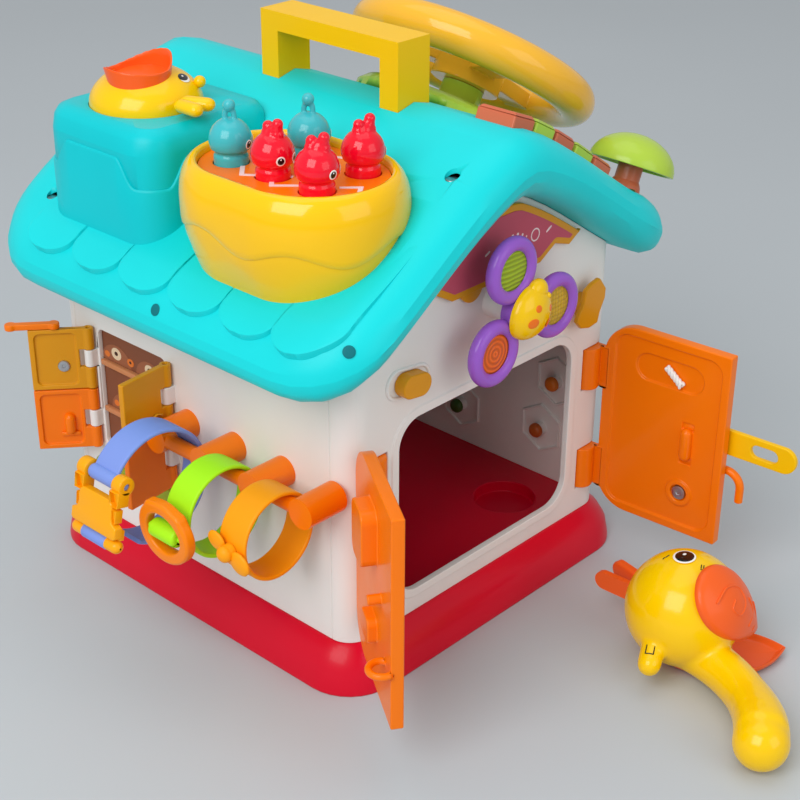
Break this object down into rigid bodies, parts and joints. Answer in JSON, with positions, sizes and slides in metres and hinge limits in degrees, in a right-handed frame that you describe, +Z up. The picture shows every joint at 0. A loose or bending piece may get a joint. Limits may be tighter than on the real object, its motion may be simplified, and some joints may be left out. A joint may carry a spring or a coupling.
{
  "type": "toddler activity house",
  "caption": "Toddler's activity house with hinged doors, shutters, latches and strap loops, a spinner, press keys, a pop-up game and a steering wheel on its gabled roof, with a loose beater.",
  "frame": {"origin": "on the floor, on the flat underside of the base, below the ridge and 106 mm behind the door gable's outer face", "axes": "+Z up, -Y towards the door gable, -X towards the strap and window wall; the ridge runs along Y"},
  "size_m": [0.345, 0.4476, 0.3116],
  "materials": {
    "turquoise": "satin moulded plastic",
    "red": "satin moulded plastic",
    "white": "satin moulded plastic",
    "orange": "glossy moulded plastic",
    "mustard": "glossy moulded plastic",
    "yellow": "glossy moulded plastic",
    "amber": "glossy moulded plastic",
    "lime": "satin moulded plastic",
    "coral": "satin moulded plastic",
    "teal": "glossy moulded plastic",
    "scarlet": "glossy moulded plastic",
    "beak": "satin moulded plastic",
    "purple": "glossy moulded plastic",
    "pad": "ribbed soft rubber",
    "blue_strap": "soft matte band",
    "lime_strap": "soft matte band",
    "orange_strap": "soft matte band",
    "brown": "printed panel",
    "olive": "satin moulded plastic",
    "steel": "plated",
    "board": "lacquered board",
    "black": "matt"
  },
  "bodies": {
    "house": {"base_tray": "red", "base_cover": "red", "wall_front": "white", "wall_rear": "white", "wall_left": "white", "wall_right": "white", "roof_lower": "turquoise", "roof_upper": "turquoise", "case_screws": "steel", "hinge_pins": "steel", "duck_tower": "turquoise", "game_housing": "yellow", "game_deck": "orange", "peg_springs": "steel", "sign_plate": "mustard", "gable_hooks": "mustard", "strap_rail": "orange", "shelf_panel": "brown", "bush_trim": "olive", "dashboard": "lime", "circuit_board": "board", "speaker": "black", "battery_pack": "black", "battery_cover": "turquoise"},
    "carry_handle": {"carry_handle": "yellow"},
    "peg_1": {"peg_1": "teal"},
    "peg_2": {"peg_2": "scarlet"},
    "peg_3": {"peg_3": "scarlet"},
    "peg_4": {"peg_4": "teal"},
    "peg_5": {"peg_5": "scarlet"},
    "duck": {"duck_head": "yellow", "duck_beak": "beak"},
    "steering_wheel": {"steering_wheel": "amber"},
    "key_1": {"key_1": "coral"},
    "key_2": {"key_2": "lime"},
    "key_3": {"key_3": "coral"},
    "key_4": {"key_4": "lime"},
    "key_5": {"key_5": "coral"},
    "gear_lever": {"gear_lever": "coral", "gear_knob": "lime"},
    "spinner": {"spinner_frame": "purple", "spinner_pads": "pad", "spinner_cap": "yellow"},
    "door_left": {"door_left": "orange"},
    "door_right": {"door_right": "orange"},
    "hasp": {"hasp": "yellow"},
    "hook_latch": {"hook_latch": "orange"},
    "shutter_1": {"shutter_1": "mustard"},
    "shutter_2": {"shutter_2": "orange"},
    "shutter_3": {"shutter_3": "mustard"},
    "shutter_4": {"shutter_4": "orange"},
    "shutter_bolt": {"shutter_bolt": "orange"},
    "strap_rear": {"strap_rear": "blue_strap"},
    "buckle": {"buckle": "amber"},
    "strap_middle": {"strap_middle": "lime_strap"},
    "strap_ring": {"strap_ring": "orange"},
    "strap_front": {"strap_front": "orange_strap"},
    "toggle": {"toggle": "orange_strap"},
    "beater": {"beater": "yellow", "beater_trim": "beak"}
  },
  "joints": [
    {"name": "handle_push", "type": "slide", "parent": "house", "child": "carry_handle", "axis": [0, 0, 1], "range_m": [-0.02, 0]},
    {"name": "peg_1_push", "type": "slide", "parent": "house", "child": "peg_1", "axis": [0, 0, 1], "range_m": [-0.006, 0], "stiffness_N_per_m": 300, "springref_m": 0.002, "deforming": ["peg_springs"]},
    {"name": "peg_2_push", "type": "slide", "parent": "house", "child": "peg_2", "axis": [0, 0, 1], "range_m": [-0.006, 0], "stiffness_N_per_m": 300, "springref_m": 0.002, "deforming": ["peg_springs"]},
    {"name": "peg_3_push", "type": "slide", "parent": "house", "child": "peg_3", "axis": [0, 0, 1], "range_m": [-0.006, 0], "stiffness_N_per_m": 300, "springref_m": 0.002, "deforming": ["peg_springs"]},
    {"name": "peg_4_push", "type": "slide", "parent": "house", "child": "peg_4", "axis": [0, 0, 1], "range_m": [-0.006, 0], "stiffness_N_per_m": 300, "springref_m": 0.002, "deforming": ["peg_springs"]},
    {"name": "peg_5_push", "type": "slide", "parent": "house", "child": "peg_5", "axis": [0, 0, 1], "range_m": [-0.006, 0], "stiffness_N_per_m": 300, "springref_m": 0.002, "deforming": ["peg_springs"]},
    {"name": "duck_push", "type": "slide", "parent": "house", "child": "duck", "axis": [0, 0, 1], "range_m": [-0.003, 0], "stiffness_N_per_m": 800, "springref_m": 0.003},
    {"name": "wheel_turn", "type": "hinge", "parent": "house", "child": "steering_wheel", "pos_m": [0.077, -0.006, 0.23515], "axis": [0.5539, 0, 0.8326], "range_deg": [-90, 90]},
    {"name": "key_1_push", "type": "slide", "parent": "house", "child": "key_1", "axis": [0.3719, 0, 0.9283], "range_m": [-0.0025, 0], "stiffness_N_per_m": 400, "springref_m": 0.0015},
    {"name": "key_2_push", "type": "slide", "parent": "house", "child": "key_2", "axis": [0.474, 0, 0.8805], "range_m": [-0.0025, 0], "stiffness_N_per_m": 400, "springref_m": 0.0015},
    {"name": "key_3_push", "type": "slide", "parent": "house", "child": "key_3", "axis": [0.5297, 0, 0.8482], "range_m": [-0.0025, 0], "stiffness_N_per_m": 400, "springref_m": 0.0015},
    {"name": "key_4_push", "type": "slide", "parent": "house", "child": "key_4", "axis": [0.5546, 0, 0.8321], "range_m": [-0.0025, 0], "stiffness_N_per_m": 400, "springref_m": 0.0015},
    {"name": "key_5_push", "type": "slide", "parent": "house", "child": "key_5", "axis": [0.5513, 0, 0.8343], "range_m": [-0.0025, 0], "stiffness_N_per_m": 400, "springref_m": 0.0015},
    {"name": "gear_rock", "type": "hinge", "parent": "house", "child": "gear_lever", "pos_m": [0.119, -0.098, 0.2103], "axis": [0, 1, 0], "range_deg": [-12, 12]},
    {"name": "spinner_turn", "type": "hinge", "parent": "house", "child": "spinner", "pos_m": [0, -0.125, 0.185], "axis": [0, -1, 0], "continuous": true},
    {"name": "door_left_swing", "type": "hinge", "parent": "house", "child": "door_left", "pos_m": [-0.0845, -0.1035, 0.087], "axis": [0, 0, 1], "range_deg": [0, 124]},
    {"name": "door_right_swing", "type": "hinge", "parent": "house", "child": "door_right", "pos_m": [0.0885, -0.1035, 0.087], "axis": [0, 0, 1], "range_deg": [-94, 28]},
    {"name": "hasp_swing", "type": "hinge", "parent": "door_right", "child": "hasp", "pos_m": [0.10743, -0.17926, 0.091], "axis": [0, 0, 1], "range_deg": [0, 140]},
    {"name": "hook_turn", "type": "hinge", "parent": "door_right", "child": "hook_latch", "pos_m": [0.10417, -0.17849, 0.0548], "axis": [0.9976, 0.0698, 0], "range_deg": [-90, 5]},
    {"name": "shutter_1_swing", "type": "hinge", "parent": "house", "child": "shutter_1", "pos_m": [-0.1075, 0.0895, 0.1255], "axis": [0, 0, 1], "range_deg": [0, 130]},
    {"name": "shutter_2_swing", "type": "hinge", "parent": "house", "child": "shutter_2", "pos_m": [-0.1075, 0.0895, 0.0885], "axis": [0, 0, 1], "range_deg": [0, 130]},
    {"name": "shutter_3_swing", "type": "hinge", "parent": "house", "child": "shutter_3", "pos_m": [-0.1075, 0.0245, 0.1255], "axis": [0, 0, 1], "range_deg": [-96, 0]},
    {"name": "shutter_4_swing", "type": "hinge", "parent": "house", "child": "shutter_4", "pos_m": [-0.1075, 0.0245, 0.0885], "axis": [0, 0, 1], "range_deg": [-96, 0]},
    {"name": "bolt_turn", "type": "hinge", "parent": "shutter_1", "child": "shutter_bolt", "pos_m": [-0.12129, 0.10107, 0.144], "axis": [0, 0, 1], "range_deg": [-90, 0]},
    {"name": "strap_rear_swing", "type": "hinge", "parent": "house", "child": "strap_rear", "pos_m": [-0.124, -0.007, 0.112], "axis": [0, 1, 0], "range_deg": [-30, 45]},
    {"name": "strap_middle_swing", "type": "hinge", "parent": "house", "child": "strap_middle", "pos_m": [-0.124, -0.043, 0.112], "axis": [0, 1, 0], "range_deg": [-18, 45]},
    {"name": "strap_front_swing", "type": "hinge", "parent": "house", "child": "strap_front", "pos_m": [-0.124, -0.079, 0.112], "axis": [0, 1, 0], "range_deg": [-15, 60]},
    {"name": "buckle_swing", "type": "hinge", "parent": "strap_rear", "child": "buckle", "pos_m": [-0.17331, -0.007, 0.11648], "axis": [0, 1, 0], "range_deg": [-20, 44]},
    {"name": "ring_swing", "type": "hinge", "parent": "strap_middle", "child": "strap_ring", "pos_m": [-0.16586, -0.043, 0.09605], "axis": [0, 1, 0], "range_deg": [-22, 22]},
    {"name": "toggle_turn", "type": "hinge", "parent": "strap_front", "child": "toggle", "pos_m": [-0.15628, -0.079, 0.09718], "axis": [-0.9994, 0, -0.0349], "range_deg": [-90, 90]},
    {"name": "beater_lift", "type": "slide", "parent": "house", "child": "beater", "axis": [0, 0, 1], "range_m": [0, 0.15]}
  ]
}
